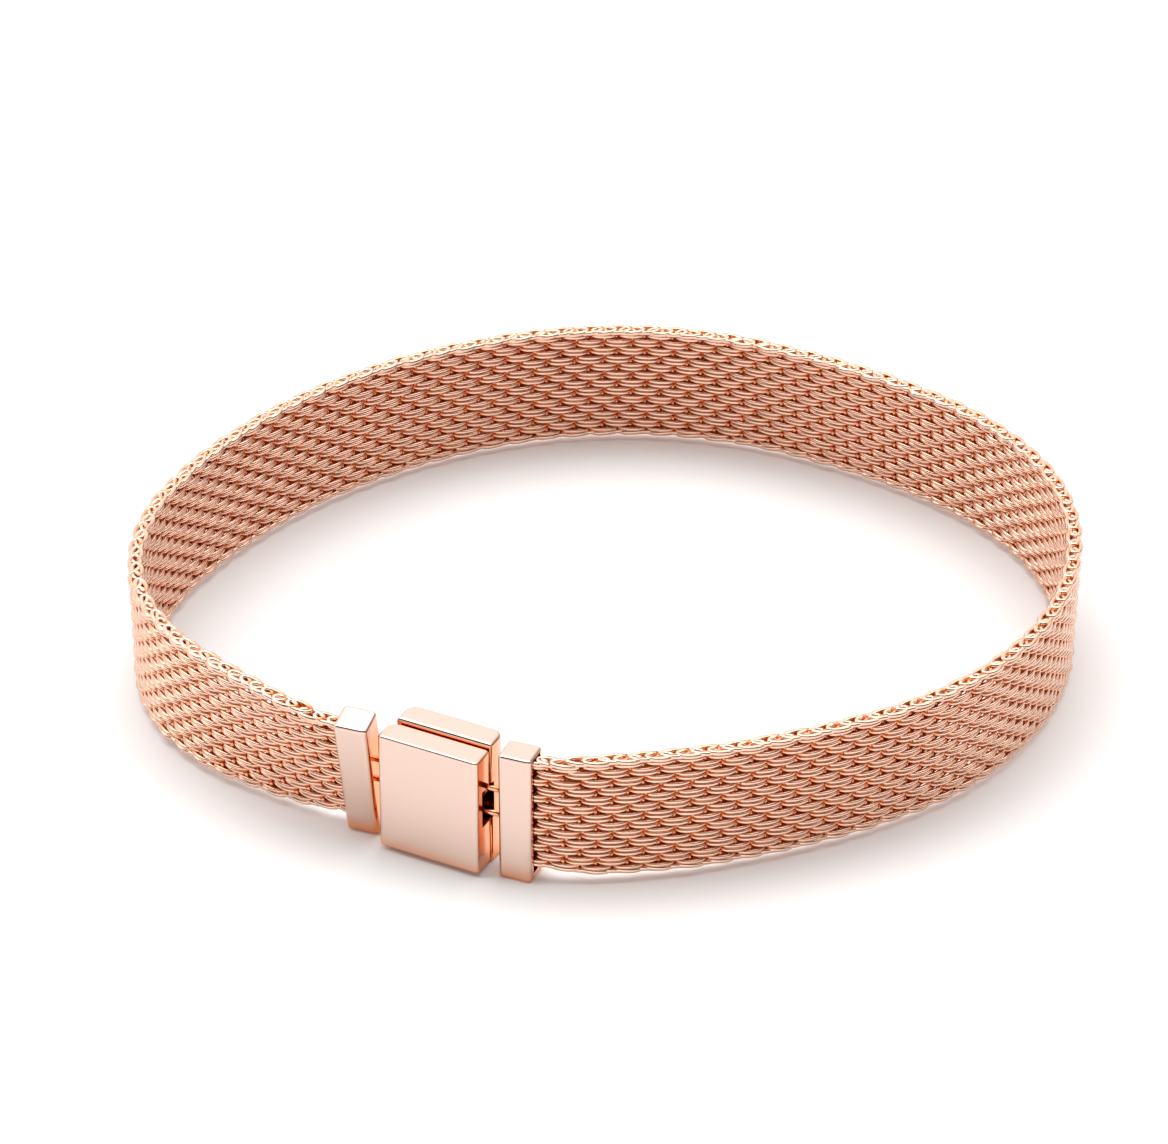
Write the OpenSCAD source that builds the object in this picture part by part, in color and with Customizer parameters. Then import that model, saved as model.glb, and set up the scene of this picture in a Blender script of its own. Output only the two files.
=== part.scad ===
// Mesh bracelet: a woven wire band held between two end caps, closed by a
// rectangular clasp whose front plate opens like a door over a wire ring.
// Millimetres. Z is up from the surface the bracelet lies on, X runs across
// the oval and the clasp is at the front, on the -Y side.

/* [Loop] */
// Length of the closed bracelet along its middle
loop_len = 190; // [165:1:215]
// Direction of the clasp seen from the middle of the oval, in degrees
clasp_angle = -114.9; // [-122:0.2:-106]
// How far the clasp sits inside the line of the oval
clasp_inset = 0.8; // [0.6:0.1:1.3]
// Turn of the clasp about the vertical
clasp_turn = -27.6; // [-31:0.2:-25]

/* [Woven band] */
// Width of the woven band, which is its height as it stands
band_w = 9.7; // [7:0.05:12]
// Thickness of the weave
band_t = 1.2; // [0.9:0.05:1.3]
// Distance between two wire bends along a rim
bend_pitch = 2.12; // [1.6:0.02:3]
// Depth of the hollow between two wire bends
bend_depth = 0.26; // [0.1:0.05:0.5]
// How far the weave's edges are rounded over
rim_round = 0.16; // [0.1:0.02:0.3]
// How far each rim is drawn in where the band goes into a cap
rim_tuck = 0.35; // [0.2:0.05:0.6]
// Length over which a rim comes back out from a cap
tuck_fade = 1.6; // [1:0.2:3]
// Length over which the band turns from a cap's direction into the oval
ease_len = 9; // [7:0.5:14]
// Length over which a cap's lean dies out along the band
lean_fade = 8; // [4:0.5:10]
// Lean of the band where it sways most, its top outward
sway_lean = 3.2; // [0:0.2:5]
// Direction of that place seen from the middle of the oval
sway_angle = -25; // [-40:1:-10]

/* [End caps] */
// Length of a cap along the band
cap_w = 2.4; // [2.1:0.1:3.4]
// Thickness of a cap from front to back
cap_t = 2.25; // [2.1:0.05:2.6]
// Metal of a cap above and below the band
cap_over = 0.4; // [0.3:0.05:0.6]
// Radius of a cap's vertical edges
cap_round = 0.25; // [0.1:0.05:0.4]
// Depth of the pocket that holds the band's end
pocket_depth = 1.4; // [1:0.1:1.6]
// Gap between the band and the pocket all round
pocket_gap = 0.05; // [0.02:0.01:0.1]
// How far the band sits above the middle of the right cap
right_rise = 0.2; // [0:0.05:0.2]
// Lean of the left cap, its top towards the viewer
left_lean = 11.5; // [6:0.5:13]
// Turn of the left cap against the clasp
left_turn = 6.6; // [4:0.2:9]
// Turn of the right cap against the clasp
right_turn = 5.4; // [3:0.2:8]

/* [Clasp] */
// Length of the clasp along the band
clasp_len = 7.6; // [7:0.1:10]
// Thickness of the front plate, the lid
lid_t = 2; // [1.9:0.05:2.3]
// Thickness of the back plate, the base
base_t = 2; // [1.6:0.1:3]
// Height of the base
base_h = 9.6; // [8.6:0.1:12]
// How much lower the lid is than the base, above and below
lid_step = 0.3; // [0.2:0.05:0.5]
// Gap between the two plates
plate_gap = 0.1; // [0.06:0.01:0.16]
// How far the base is set in from the lid's left end
base_inset = 0.35; // [0.2:0.05:0.45]
// Radius of the base's vertical edges at the back
base_round = 0.8; // [0.4:0.05:1.2]
// Radius of the lid's front and right vertical edges
lid_round = 0.3; // [0.2:0.02:0.4]
// Bevel along the top and bottom edges
edge_bevel = 0.12; // [0.06:0.02:0.2]

/* [Hinge] */
// Radius of the rounded end that the lid turns on
knuckle_r = 0.85; // [0.8:0.01:0.95]
// Clearance between that end and the base
knuckle_gap = 0.05; // [0.03:0.01:0.08]
// Radius of the hinge pin
pin_r = 0.3; // [0.2:0.02:0.36]
// Clearance of the pin in the lid
pin_clear = 0.03; // [0.02:0.005:0.05]
// Clearance of the pin in the base's lugs
pin_seat = 0.01; // [0.01:0.005:0.02]
// Height of each lug that carries the pin
lug_h = 1.8; // [1.2:0.1:2]
// Wall of a lug round the pin
lug_wall = 0.4; // [0.3:0.02:0.42]
// Metal between a lug and the left ring's recess
lug_bar = 0.4; // [0.2:0.05:0.5]
// Clearance between the lugs and the lid
lug_gap = 0.08; // [0.05:0.01:0.12]
// Clearance between the lid as it swings and the left cap
swing_clear = 0.35; // [0.3:0.05:0.8]

/* [Rings] */
// Thickness of the ring wire
wire_d = 0.4; // [0.3:0.02:0.46]
// Height of the right cap's ring
catch_ring_h = 2.4; // [2.1:0.1:2.8]
// Height of the left cap's ring
link_ring_h = 2; // [1.8:0.1:2.2]
// Radius of the post that the right ring hooks on
catch_post_r = 0.4; // [0.3:0.02:0.5]
// Radius of the post that the left ring turns on
link_post_r = 0.3; // [0.2:0.02:0.34]
// Distance of the right post from the clasp's right end
catch_inset = 1.25; // [1.1:0.05:1.6]
// Distance of the left post from the clasp's left end
link_inset = 1.2; // [1.1:0.05:1.4]
// How far the right ring sits above the clasp's middle
catch_rise = 0.3; // [0:0.1:0.5]
// How far the left ring sits in from the back of its cap
link_set = 0.06; // [0.02:0.02:0.2]
// Gap between the clasp and the right cap
right_gap = 1; // [0.6:0.05:1.3]
// Play of a ring on its post
ring_play = 0.1; // [0.06:0.02:0.2]
// Room left round a ring in its recess
ring_room = 0.22; // [0.16:0.02:0.3]

/* [Hidden] */
$fn = 48;
rose = "#dfa78f";
rose_pale = "#ecc9ba";
skirt = 1; // how far a cutting shape runs past what it cuts
solder = 0.6; // how far a ring's legs run into their cap
root = 0.25; // how far a post runs into the base
web = 0.5; // how far a lug's neck runs into the base
neck_share = 1.4; // width of a lug's neck, as a share of its radius
catch_share = 0.64; // depth of the right ring on its cap, as a share of the cap's thickness

// The oval: each row adds a wave to the mean radius
// columns: lobes round the loop, share of the mean radius, direction of a crest in degrees
OVAL = [
    [2, 0.076, 4.6],
    [3, 0.0145, -40],
    [4, 0.0214, 5.3],
    [5, 0.0076, -26],
    [6, 0.0073, 20]
];

function share_at(a, i = 0) =
    i == len(OVAL) ? 1 : share_at(a, i + 1) + OVAL[i][1] * cos(OVAL[i][0] * (a - OVAL[i][2]));
function ray(a) = [cos(a), sin(a)];
function length_of(p, i = 1) = i == len(p) ? 0 : norm(p[i] - p[i - 1]) + length_of(p, i + 1);
function spin(v, a) = [v.x * cos(a) - v.y * sin(a), v.x * sin(a) + v.y * cos(a)];

oval_step = 2;
mean_r = loop_len / length_of([for (a = [0:oval_step:360]) share_at(a) * ray(a)]);
function oval(a) = mean_r * share_at(a) * ray(a);
function oval_way(a) = let (d = oval(a + 0.5) - oval(a - 0.5)) d / norm(d);

// Sizes that follow from the ones above
band_in_h = band_w - 2 * rim_tuck;
pocket_h = band_in_h + 2 * pocket_gap;
cap_h = pocket_h + 2 * cap_over;
clasp_t = lid_t + plate_gap + base_t;
base_y = lid_t + plate_gap;
lid_h = base_h - 2 * lid_step;
mid_z = base_h / 2;
pin_x = knuckle_r;
pin_y = base_y - knuckle_gap - knuckle_r;
lug_r = pin_r + lug_wall;
lug_w = lug_r * neck_share;

// Rings and posts, in the clasp's own frame: x from the lid's left end, y from its front
catch_x = clasp_len - catch_inset;
catch_y = lid_t + plate_gap / 2;
catch_z = mid_z + catch_rise;
catch_half = catch_ring_h / 2 - wire_d / 2;
link_half = link_ring_h / 2 - wire_d / 2;
link_x = link_inset;
link_y = base_y + ring_room + wire_d / 2;
lug_mid = link_ring_h / 2 + ring_room + lug_bar + lug_h / 2;

// The lid swings past its own left end by this much, and the left cap stands clear of it
swing_r = norm([pin_x - lid_round, pin_y - lid_round]) + lid_round;
left_gap = swing_r - pin_x + swing_clear;
link_reach = (link_x + left_gap) / cos(left_turn);
catch_reach = (catch_inset + right_gap) / cos(right_turn);
link_on_cap = cap_t - wire_d / 2 - link_set;
catch_on_cap = cap_t * catch_share;

// Where the clasp stands
clasp_mid = oval(clasp_angle) - clasp_inset * ray(clasp_angle);
clasp_at = clasp_mid - spin([clasp_len / 2, clasp_t / 2], clasp_turn);
function from_clasp(p) = clasp_at + spin(p, clasp_turn);

// Where the caps stand: the face towards the clasp, at the front of the cap
right_yaw = clasp_turn + right_turn;
right_at = from_clasp([catch_x, catch_y]) + spin([catch_reach, -catch_on_cap], right_yaw);
left_yaw = clasp_turn + left_turn;
left_at = from_clasp([link_x, link_y]) + spin([-link_reach, -link_on_cap], left_yaw);
right_z = cap_h / 2;
left_z = cap_h / 2 * cos(left_lean);

// The band's line, from the right cap's pocket anticlockwise round to the left cap's
band_y = cap_t / 2;
band_in = cap_w - pocket_depth + pocket_gap;
right_in = right_at + spin([band_in, band_y], right_yaw);
right_out = right_at + spin([cap_w, band_y], right_yaw);
left_in = left_at + spin([-band_in, band_y * cos(left_lean)], left_yaw);
left_out = left_at + spin([-cap_w, band_y * cos(left_lean)], left_yaw);
ease_turn = ease_len / mean_r * 180 / PI;
ease_a = atan2(right_out.y, right_out.x) + ease_turn;
ease_b = atan2(left_out.y, left_out.x) + 360 - ease_turn;
function blend(p, v, q, w, u) =
    let (k = norm(q - p), a = u * u * (3 - 2 * u))
    p * (1 - a) + q * a + k * (v * (u * (1 - u) * (1 - u)) - w * (u * u * (1 - u)));
ease_steps = 12;
oval_steps = 300;
route = concat(
    [right_in],
    [for (i = [0:ease_steps - 1])
        blend(right_out, ray(right_yaw), oval(ease_a), oval_way(ease_a), i / ease_steps)],
    [for (i = [0:oval_steps]) oval(ease_a + (ease_b - ease_a) * i / oval_steps)],
    [for (i = [1:ease_steps])
        blend(oval(ease_b), oval_way(ease_b), left_out, ray(left_yaw), i / ease_steps)],
    [left_in]
);
along = [for (i = 0, s = 0; i < len(route);
    s = s + (i + 1 < len(route) ? norm(route[i + 1] - route[i]) : 0), i = i + 1) s];
band_len = along[len(along) - 1];
xs = [for (i = [0:len(route) - 1]) [along[i], route[i].x]];
ys = [for (i = [0:len(route) - 1]) [along[i], route[i].y]];
function on_band(s) = [lookup(s, xs), lookup(s, ys)];
function band_way(s) =
    let (d = on_band(min(s + 0.4, band_len)) - on_band(max(s - 0.4, 0))) d / norm(d);

// The whole is centred on its own outline
back_y = max([for (p = route) p.y]);
front_y = min([for (p = route) p.y]);
corners = [
    right_at,
    right_at + spin([cap_w, 0], right_yaw),
    from_clasp([clasp_len, 0]),
    from_clasp([clasp_len - lid_round, 0])
];
low_x = min([for (p = route) p.x]) - band_t / 2;
high_x = max([for (p = route) p.x]) + band_t / 2;
low_y = min(concat([front_y - band_t / 2], [for (p = corners) p.y]));
high_y = back_y + band_t / 2;
centre = [(low_x + high_x) / 2, (low_y + high_y) / 2];

// What an end has of the band at a distance d from it: all in the cap, less further along
function hold(d, fade) = exp(-pow(max(d - cap_w, 0) / fade, 2));

// The band's lean: the left cap's own at that end, none at the right end, and a slight sway between
function lean_at(s) =
    let (p = on_band(s), left = hold(band_len - s, lean_fade), free = (1 - left) * (1 - hold(s, lean_fade)))
    left_lean * left + sway_lean * cos(2 * (atan2(p.y, p.x) - sway_angle)) * free;

// Height of the band's middle: it stands on the surface at the back, and the caps lift its ends
band_lift = cap_over + pocket_gap - rim_tuck;
left_mid = left_z + band_y * sin(left_lean);
function band_mid_z(s) =
    let (lean = lean_at(s), left = hold(band_len - s, lean_fade),
        stand = band_w / 2 * cos(lean) + (band_t / 2 - rim_round) * abs(sin(lean)),
        lift = band_lift * (back_y - on_band(s).y) / (back_y - front_y))
    (stand + lift) * (1 - left) + left_mid * left + right_rise * hold(s, lean_fade);

// One cross-section of the band: half its outline, mirrored; the rims rise and fall with the bends
bends = round(band_len / bend_pitch);
sections = bends * 4;
function rim_at(i) =
    let (s = band_len * i / sections, held = max(hold(s, tuck_fade), hold(band_len - s, tuck_fade)))
    band_w / 2 - rim_tuck * held - bend_depth * (0.5 - 0.5 * cos(360 * i * bends / sections));
function outline(h) = [
    [-band_t / 2, -h + rim_round],
    [-band_t / 2 + rim_round, -h],
    [band_t / 2 - rim_round, -h],
    [band_t / 2, -h + rim_round],
    [band_t / 2, h - rim_round],
    [band_t / 2 - rim_round, h],
    [-band_t / 2 + rim_round, h],
    [-band_t / 2, h - rim_round]
];
function section(i) =
    let (s = band_len * i / sections, p = on_band(s), w = band_way(s), n = [w.y, -w.x],
        lean = lean_at(s), z = band_mid_z(s))
    [for (q = outline(rim_at(i)))
        let (r = n * (q.x * cos(lean) + q.y * sin(lean)))
        [p.x + r.x, p.y + r.y, z + q.y * cos(lean) - q.x * sin(lean)]];

module at_centre() {
    translate([-centre.x, -centre.y, 0]) children();
}

module at_clasp() {
    at_centre() translate([clasp_at.x, clasp_at.y, 0]) rotate(clasp_turn) children();
}

// An upright plate: an outline seen from above, cut to a bevelled profile seen from the end
module plate(t, h, long, y = 0) {
    b = edge_bevel;
    intersection() {
        linear_extrude(h) children();
        translate([-skirt, y, 0]) rotate([90, 0, 90]) linear_extrude(long + 2 * skirt)
            polygon([[b, 0], [t - b, 0], [t, b], [t, h - b], [t - b, h], [b, h], [0, h - b], [0, b]]);
    }
}

// The waste outside a rounded corner whose arc has radius r, the corner at the origin
module corner_waste(r) {
    difference() {
        translate([-skirt, -skirt]) square(skirt + r);
        translate([r, r]) circle(r);
    }
}

module mesh_band() {
    rings = [for (i = [0:sections]) section(i)];
    m = len(rings[0]);
    points = [for (r = rings, p = r) p];
    sides = [for (i = [0:sections - 1], j = [0:m - 1])
        let (k = (j + 1) % m) [i * m + j, i * m + k, (i + 1) * m + k, (i + 1) * m + j]];
    first = [for (j = [m - 1:-1:0]) j];
    last = [for (j = [0:m - 1]) sections * m + j];
    color(rose) at_centre() polyhedron(points, concat(sides, [first, last]), convexity = 8);
}

// A cap in its own frame: x from the face towards the clasp, y from its front, z from its middle;
// rise is how far its pocket sits above the middle
module cap_body(rise = 0) {
    difference() {
        translate([0, 0, -cap_h / 2]) plate(cap_t, cap_h, cap_w) {
            difference() {
                square([cap_w, cap_t]);
                corner_waste(cap_round);
                translate([cap_w, 0]) rotate(90) corner_waste(cap_round);
                translate([0, cap_t]) rotate(-90) corner_waste(cap_round);
                translate([cap_w, cap_t]) rotate(180) corner_waste(cap_round);
            }
        }
        translate([cap_w - pocket_depth, band_y - band_t / 2 - pocket_gap, rise - pocket_h / 2])
            cube([pocket_depth + skirt, band_t + 2 * pocket_gap, pocket_h]);
    }
}

// A long wire ring lying in the x-z plane: half a ring round the post at the origin, and two legs
module wire_ring(half, tip, reach) {
    translate([tip, 0, 0]) rotate([90, 0, 0]) rotate([0, 0, 90]) rotate_extrude(angle = 180)
        translate([half, 0]) circle(d = wire_d);
    for (z = [-half, half]) translate([tip, 0, z]) rotate([0, 90, 0])
        cylinder(h = reach + solder - tip, d = wire_d);
}

module right_end_cap() {
    color(rose_pale) union() {
        at_centre() translate([right_at.x, right_at.y, right_z]) rotate(right_yaw) cap_body(right_rise);
        at_clasp() translate([catch_x, catch_y, catch_z]) rotate(right_turn)
            wire_ring(catch_half, catch_half - wire_d / 2 - catch_post_r - ring_play, catch_reach);
    }
}

module left_end_cap() {
    color(rose_pale) union() {
        at_centre() translate([left_at.x, left_at.y, left_z]) rotate([left_lean, 0, left_yaw])
            mirror([1, 0, 0]) cap_body();
        at_clasp() translate([link_x, link_y, mid_z]) rotate(left_turn) mirror([1, 0, 0])
            wire_ring(link_half, link_half - wire_d / 2 - link_post_r - ring_play, link_reach);
    }
}

// The recesses in which the two rings lie, open at the clasp's ends
module catch_recess(y0, y1) {
    tall = catch_ring_h + 2 * ring_room;
    far = catch_post_r + ring_play + wire_d + ring_room;
    translate([catch_x - far, y0, catch_z - tall / 2]) cube([far + catch_inset + skirt, y1 - y0, tall]);
}

module link_recess(y0, y1) {
    tall = link_ring_h + 2 * ring_room;
    far = link_post_r + ring_play + wire_d + ring_room;
    translate([-skirt, y0, mid_z - tall / 2]) cube([skirt + link_x + far, y1 - y0, tall]);
}

module clasp_base() {
    ring_slope = (link_post_r + wire_d) * sin(left_turn);
    link_floor = link_y + wire_d / 2 + ring_slope + ring_room;
    catch_floor = catch_y + wire_d / 2 + ring_room;
    color(rose_pale) at_clasp() difference() {
        union() {
            difference() {
                plate(base_t, base_h, clasp_len, base_y) translate([base_inset, base_y]) difference() {
                    square([clasp_len - base_inset, base_t]);
                    translate([0, base_t]) mirror([0, 1]) corner_waste(base_round);
                    translate([clasp_len - base_inset, base_t]) rotate(180) corner_waste(base_round);
                }
                catch_recess(lid_t, catch_floor);
                link_recess(lid_t, link_floor);
            }
            translate([catch_x, catch_floor + root, catch_z]) rotate([90, 0, 0])
                cylinder(h = catch_floor + root - lid_t / 2, r = catch_post_r);
            translate([link_x, link_floor + root, mid_z]) rotate([90, 0, 0])
                cylinder(h = link_floor + root - base_y, r = link_post_r);
            for (side = [-1, 1]) translate([0, 0, mid_z + side * lug_mid - lug_h / 2]) {
                translate([pin_x, pin_y, 0]) cylinder(h = lug_h, r = lug_r);
                translate([pin_x - lug_w / 2, pin_y, 0])
                    cube([lug_w, base_y - pin_y + web, lug_h]);
            }
        }
        translate([pin_x, pin_y, 0]) cylinder(h = base_h, r = pin_r + pin_seat);
    }
}

module clasp_lid() {
    color(rose_pale) at_clasp() difference() {
        translate([0, 0, lid_step]) plate(lid_t, lid_h, clasp_len) difference() {
            square([clasp_len, lid_t]);
            corner_waste(lid_round);
            translate([clasp_len, 0]) mirror([1, 0]) corner_waste(lid_round);
            translate([clasp_len, lid_t]) rotate(180) corner_waste(lid_round);
            difference() {
                translate([-skirt, pin_y]) square([skirt + pin_x, lid_t - pin_y + skirt]);
                translate([pin_x, pin_y]) circle(knuckle_r);
            }
        }
        for (side = [-1, 1]) translate([pin_x, pin_y, mid_z + side * lug_mid - lug_h / 2 - lug_gap]) {
            cylinder(h = lug_h + 2 * lug_gap, r = lug_r + lug_gap);
            translate([-knuckle_r - skirt, -lug_w / 2 - lug_gap, 0]) cube([
                knuckle_r + skirt + lug_w / 2 + lug_gap,
                knuckle_r + lug_w + skirt,
                lug_h + 2 * lug_gap
            ]);
        }
        translate([pin_x, pin_y, 0]) cylinder(h = mid_z + lug_mid + lug_h / 2 + pin_r, r = pin_r + pin_clear);
        catch_recess(lid_t / 2 - ring_room, lid_t + skirt);
    }
}

module hinge_pin() {
    low = lid_step + edge_bevel;
    high = mid_z + lug_mid + lug_h / 2 + pin_r - pin_seat;
    color(rose) at_clasp() translate([pin_x, pin_y, low]) cylinder(h = high - low, r = pin_r);
}

mesh_band();
left_end_cap();
right_end_cap();
clasp_base();
clasp_lid();
hinge_pin();
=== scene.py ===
import math

import bmesh
import bpy
import numpy as np
from mathutils import Matrix, Vector


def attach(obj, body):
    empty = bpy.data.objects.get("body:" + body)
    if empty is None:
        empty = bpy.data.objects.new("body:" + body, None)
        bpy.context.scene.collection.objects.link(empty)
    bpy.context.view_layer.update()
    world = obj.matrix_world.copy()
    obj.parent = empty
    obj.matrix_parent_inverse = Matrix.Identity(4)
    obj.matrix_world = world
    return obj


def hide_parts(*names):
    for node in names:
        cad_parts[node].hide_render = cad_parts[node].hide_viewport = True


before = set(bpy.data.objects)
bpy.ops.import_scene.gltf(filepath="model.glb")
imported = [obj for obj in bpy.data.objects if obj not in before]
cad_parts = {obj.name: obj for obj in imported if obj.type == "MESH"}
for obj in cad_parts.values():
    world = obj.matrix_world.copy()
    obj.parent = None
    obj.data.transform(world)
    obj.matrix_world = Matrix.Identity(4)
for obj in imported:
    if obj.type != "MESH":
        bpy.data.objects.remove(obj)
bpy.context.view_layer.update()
mm = 0.001  # everything below is worked out in millimetres and made in metres


# The loop, the caps and the clasp, with the same sizes as in the CAD model

loop = {
    "length": 190.0,  # of the closed bracelet, along its middle
    # lobes round the loop, share of the mean radius, direction of a crest in degrees
    "waves": [(2, 0.076, 4.6), (3, 0.0145, -40), (4, 0.0214, 5.3), (5, 0.0076, -26), (6, 0.0073, 20)],
    "claspAngle": -114.9,  # direction of the clasp, seen from the middle
    "claspInset": 0.8,
    "claspTurn": -27.6,
    "ease": 9.0,  # length over which the band turns from a cap into the oval
    "easeSteps": 12,
    "ovalSteps": 300,
    "waveStep": 2,  # degrees between the points that give the mean radius
}

band = {
    "width": 9.7,
    "thickness": 1.2,
    "rimRound": 0.16,
    "rimTuck": 0.35,  # how far a rim is drawn in at a cap
    "tuckFade": 1.6,
    "leanFade": 8.0,  # length over which the left cap's lean dies out
    "sway": 3.2,  # degrees of lean where the band sways most
    "swayAngle": -25.0,
}

cap = {
    "length": 2.4,
    "thickness": 2.25,
    "over": 0.4,  # metal above and below the band
    "pocket": 1.4,  # depth of the pocket that holds the band's end
    "gap": 0.05,
    "rise": 0.2,  # the band sits this far above the middle of the right cap
    "lean": 11.5,  # of the left cap, in degrees
    "leftTurn": 6.6,  # against the clasp, in degrees
    "rightTurn": 5.4,
}

clasp = {
    "length": 7.6,
    "lidThickness": 2.0,
    "baseThickness": 2.0,
    "plateGap": 0.1,
    "height": 9.6,
    "step": 0.3,  # how much lower the lid is, above and below
    "inset": 0.35,  # the base starts this far in from the lid's left end
    "baseRound": 0.8,
    "lidRound": 0.3,
}

hinge = {
    "knuckle": 0.85,  # radius of the rounded end that the lid turns on
    "knuckleGap": 0.05,
    "pin": 0.3,  # radius
    "pinClear": 0.03,
    "lugHeight": 1.8,
    "lugWall": 0.4,  # round the pin
    "lugBar": 0.4,  # metal between a lug and the left ring's recess
    "lugGap": 0.08,
    "swingClear": 0.35,  # between the turning lid and the left cap
    "neckShare": 1.4,  # width of a lug's neck, as a share of its radius
}

rings = {
    "wire": 0.4,
    "catchHeight": 2.4,  # of the right ring
    "linkHeight": 2.0,  # of the left ring
    "catchPost": 0.4,  # radius
    "linkPost": 0.3,  # radius
    "catchInset": 1.25,  # of the right post from the clasp's right end
    "linkInset": 1.2,
    "catchRise": 0.3,
    "linkSet": 0.06,  # the left ring sits this far in from the back of its cap
    "rightGap": 1.0,  # between the clasp and the right cap
    "play": 0.1,
    "room": 0.22,  # round a ring in its recess
    "catchShare": 0.64,  # depth of the right ring on its cap, as a share of the cap's thickness
    "solder": 0.6,  # how far a ring's legs run into their cap
}


def ray(degrees):
    turn = math.radians(degrees)
    return np.array([math.cos(turn), math.sin(turn)])


def spin(v, degrees):
    c, s = ray(degrees)
    return np.array([v[0] * c - v[1] * s, v[0] * s + v[1] * c])


def shareAt(degrees):
    waves = [share * math.cos(math.radians(n * (degrees - crest))) for n, share, crest in loop["waves"]]
    return 1 + sum(waves)


outline = np.array([shareAt(a) * ray(a) for a in range(0, 361, loop["waveStep"])])
meanRadius = loop["length"] / np.linalg.norm(np.diff(outline, axis=0), axis=1).sum()


def oval(degrees):
    return meanRadius * shareAt(degrees) * ray(degrees)


def ovalWay(degrees):
    d = oval(degrees + 0.5) - oval(degrees - 0.5)
    return d / np.linalg.norm(d)


# Sizes of the clasp that follow from the ones above
claspThickness = clasp["lidThickness"] + clasp["plateGap"] + clasp["baseThickness"]
baseY = clasp["lidThickness"] + clasp["plateGap"]
midZ = clasp["height"] / 2
pinX = hinge["knuckle"]
pinY = baseY - hinge["knuckleGap"] - hinge["knuckle"]
lugRadius = hinge["pin"] + hinge["lugWall"]
lugWidth = lugRadius * hinge["neckShare"]
catchX = clasp["length"] - rings["catchInset"]
catchY = clasp["lidThickness"] + clasp["plateGap"] / 2
catchZ = midZ + rings["catchRise"]
catchHalf = rings["catchHeight"] / 2 - rings["wire"] / 2
linkHalf = rings["linkHeight"] / 2 - rings["wire"] / 2
linkX = rings["linkInset"]
linkY = baseY + rings["room"] + rings["wire"] / 2
lugMid = rings["linkHeight"] / 2 + rings["room"] + hinge["lugBar"] + hinge["lugHeight"] / 2
lidRound = clasp["lidRound"]
swingRadius = math.hypot(pinX - lidRound, pinY - lidRound) + lidRound
leftGap = swingRadius - pinX + hinge["swingClear"]
linkReach = (linkX + leftGap) / math.cos(math.radians(cap["leftTurn"]))
catchReach = (rings["catchInset"] + rings["rightGap"]) / math.cos(math.radians(cap["rightTurn"]))
linkOnCap = cap["thickness"] - rings["wire"] / 2 - rings["linkSet"]
catchOnCap = cap["thickness"] * rings["catchShare"]
bandInHeight = band["width"] - 2 * band["rimTuck"]
pocketHeight = bandInHeight + 2 * cap["gap"]
capHeight = pocketHeight + 2 * cap["over"]

# Where the clasp and the caps stand
claspMid = oval(loop["claspAngle"]) - loop["claspInset"] * ray(loop["claspAngle"])
claspAt = claspMid - spin((clasp["length"] / 2, claspThickness / 2), loop["claspTurn"])


def fromClasp(x, y):
    return claspAt + spin((x, y), loop["claspTurn"])


rightYaw = loop["claspTurn"] + cap["rightTurn"]
rightAt = fromClasp(catchX, catchY) + spin((catchReach, -catchOnCap), rightYaw)
leftYaw = loop["claspTurn"] + cap["leftTurn"]
leftAt = fromClasp(linkX, linkY) + spin((-linkReach, -linkOnCap), leftYaw)
leftZ = capHeight / 2 * math.cos(math.radians(cap["lean"]))
bandY = cap["thickness"] / 2


def easeStep(start, startWay, end, endWay, u):
    # a point on a smooth curve that leaves and arrives along the two given ways
    reach = np.linalg.norm(end - start)
    share = u * u * (3 - 2 * u)
    swing = startWay * (u * (1 - u) ** 2) - endWay * (u * u * (1 - u))
    return start * (1 - share) + end * share + reach * swing


def bandRoute():
    # from the right cap's pocket anticlockwise round to the left cap's
    inCap = cap["length"] - cap["pocket"] + cap["gap"]
    leftY = bandY * math.cos(math.radians(cap["lean"]))
    rightIn = rightAt + spin((inCap, bandY), rightYaw)
    rightOut = rightAt + spin((cap["length"], bandY), rightYaw)
    leftIn = leftAt + spin((-inCap, leftY), leftYaw)
    leftOut = leftAt + spin((-cap["length"], leftY), leftYaw)
    easeTurn = math.degrees(loop["ease"] / meanRadius)
    first = math.degrees(math.atan2(rightOut[1], rightOut[0])) + easeTurn
    last = math.degrees(math.atan2(leftOut[1], leftOut[0])) + 360 - easeTurn
    steps, ovalSteps = loop["easeSteps"], loop["ovalSteps"]
    points = [rightIn]
    for i in range(steps):
        points.append(easeStep(rightOut, ray(rightYaw), oval(first), ovalWay(first), i / steps))
    for i in range(ovalSteps + 1):
        points.append(oval(first + (last - first) * i / ovalSteps))
    for i in range(steps):
        points.append(easeStep(oval(last), ovalWay(last), leftOut, ray(leftYaw), (i + 1) / steps))
    points.append(leftIn)
    return np.array(points)


route = bandRoute()
along = np.concatenate([[0], np.cumsum(np.linalg.norm(np.diff(route, axis=0), axis=1))])
bandLength = along[-1]
backY, frontY = route[:, 1].max(), route[:, 1].min()
halfThick = band["thickness"] / 2
frontCorners = [
    rightAt,
    rightAt + spin((cap["length"], 0), rightYaw),
    fromClasp(clasp["length"], 0),
    fromClasp(clasp["length"] - lidRound, 0),
]
lowY = min([frontY - halfThick] + [p[1] for p in frontCorners])
centre = np.array([(route[:, 0].min() + route[:, 0].max()) / 2, (lowY + backY + halfThick) / 2])
print("band line", round(bandLength, 3), "mm, centre", centre.round(4).tolist())


def onBand(s):
    return np.array([np.interp(s, along, route[:, 0]), np.interp(s, along, route[:, 1])])


def hold(d, fade):
    # 1 as far as a cap reaches, and from there it fades to 0 along the band
    return math.exp(-((max(d - cap["length"], 0) / fade) ** 2))


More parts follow.
